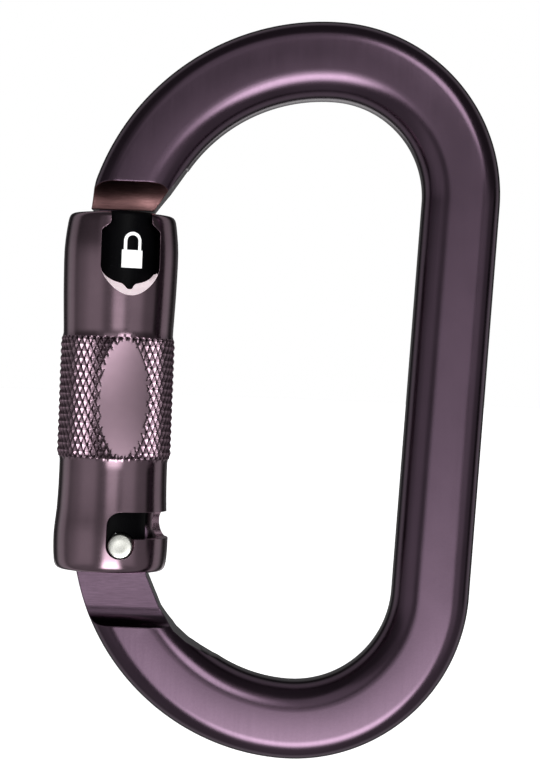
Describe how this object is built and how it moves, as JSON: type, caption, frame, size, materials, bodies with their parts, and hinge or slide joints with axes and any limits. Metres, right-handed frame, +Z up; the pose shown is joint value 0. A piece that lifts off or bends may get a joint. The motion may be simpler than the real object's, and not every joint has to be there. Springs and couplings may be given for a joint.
{
  "type": "locking carabiner",
  "caption": "Oval aluminium carabiner with a hinged gate and a spring-loaded pull-down, twist-to-open locking sleeve.",
  "frame": {"origin": "the point on the inner face of the crown bow, on the bar's middle plane, where a load hangs", "axes": "+Z up, parallel to the gate's axis and the long way of the oval; +X from the gate to the spine; -Y the front, where the sleeve's window faces; Y the thickness"},
  "size_m": [0.0651, 0.0172, 0.1105],
  "materials": {
    "frame_anodised": "dark plum-grey anodised, satin",
    "sleeve_anodised": "dark plum-grey anodised, turned and bright",
    "gate_black": "black anodised",
    "hinge_pin_steel": "bright turned stainless steel",
    "spring_steel": "drawn spring wire",
    "thrust_ring_plastic": "moulded acetal"
  },
  "bodies": {
    "frame_body": {"frame": "frame_anodised", "gate_hinge_pin": "hinge_pin_steel"},
    "gate_body": {"gate": "gate_black", "gate_return_spring": "spring_steel", "spring_seat_ring": "spring_steel", "sleeve_spring": "spring_steel"},
    "plunger_body": {"gate_plunger": "hinge_pin_steel"},
    "thrust_ring_body": {"sleeve_thrust_ring": "thrust_ring_plastic"},
    "sleeve_body": {"locking_sleeve": "sleeve_anodised"}
  },
  "joints": [
    {"name": "gate_swing", "type": "hinge", "parent": "frame_body", "child": "gate_body", "pos_m": [-0.0277, 0, -0.068], "axis": [0, 1, 0], "range_deg": [0, 36], "stiffness_Nm_per_rad": 0.15, "springref_deg": -114.59},
    {"name": "plunger_slide", "type": "slide", "parent": "gate_body", "child": "plunger_body", "axis": [0, 0, 1], "range_m": [0, 0.00155], "deforming": ["gate_return_spring"]},
    {"name": "sleeve_slide", "type": "slide", "parent": "gate_body", "child": "thrust_ring_body", "axis": [0, 0, -1], "range_m": [0, 0.0031], "stiffness_N_per_m": 600, "springref_m": -0.0083, "deforming": ["sleeve_spring"]},
    {"name": "sleeve_twist", "type": "hinge", "parent": "thrust_ring_body", "child": "sleeve_body", "pos_m": [-0.0297, 0, -0.068], "axis": [0, 0, -1], "range_deg": [0, 96], "stiffness_Nm_per_rad": 0.02, "springref_deg": -57.3}
  ],
  "couplings": [
    {"joint": "plunger_slide", "follows": "gate_swing", "m_per_rad": 0.0024}
  ]
}
